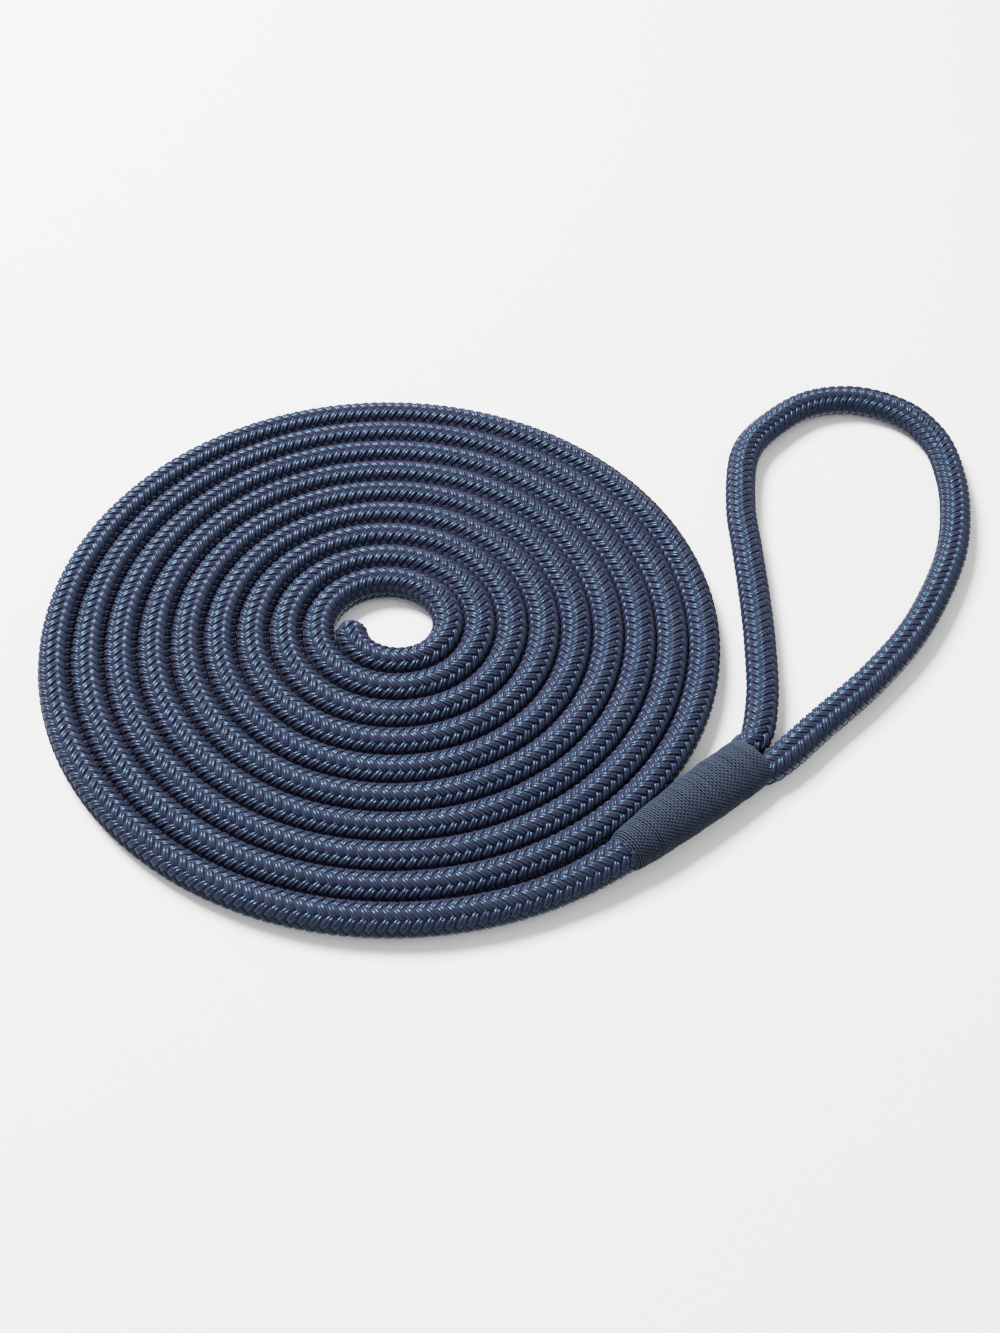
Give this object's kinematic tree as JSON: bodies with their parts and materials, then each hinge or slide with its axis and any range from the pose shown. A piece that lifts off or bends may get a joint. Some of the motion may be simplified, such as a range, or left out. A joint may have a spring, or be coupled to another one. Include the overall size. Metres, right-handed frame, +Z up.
{
  "type": "coiled dock line",
  "caption": "Braided mooring line laid as a flat spiral coil, with a seized splice and a soft eye lying flat beside it.",
  "frame": {"origin": "middle of the footprint, on the surface the line lies on", "axes": "+Z up from that surface, +X from the coil towards the eye, along the longest side of the footprint"},
  "size_m": [0.4876, 0.3838, 0.0196],
  "materials": {
    "braided_cover": "navy braided nylon with a soft sheen",
    "braided_core": "undyed braided nylon",
    "whipping_twine": "slate blue waxed twine, matt",
    "melted_end": "melted nylon, dark and slightly glossy"
  },
  "bodies": {
    "root": {"coil_cover": "braided_cover", "coil_core": "braided_core", "bitter_end_seal": "melted_end", "throat_cover": "braided_cover", "throat_core": "braided_core", "buried_tail": "braided_cover", "whipping": "whipping_twine", "eye_cover": "braided_cover", "eye_core": "braided_core"}
  },
  "joints": []
}
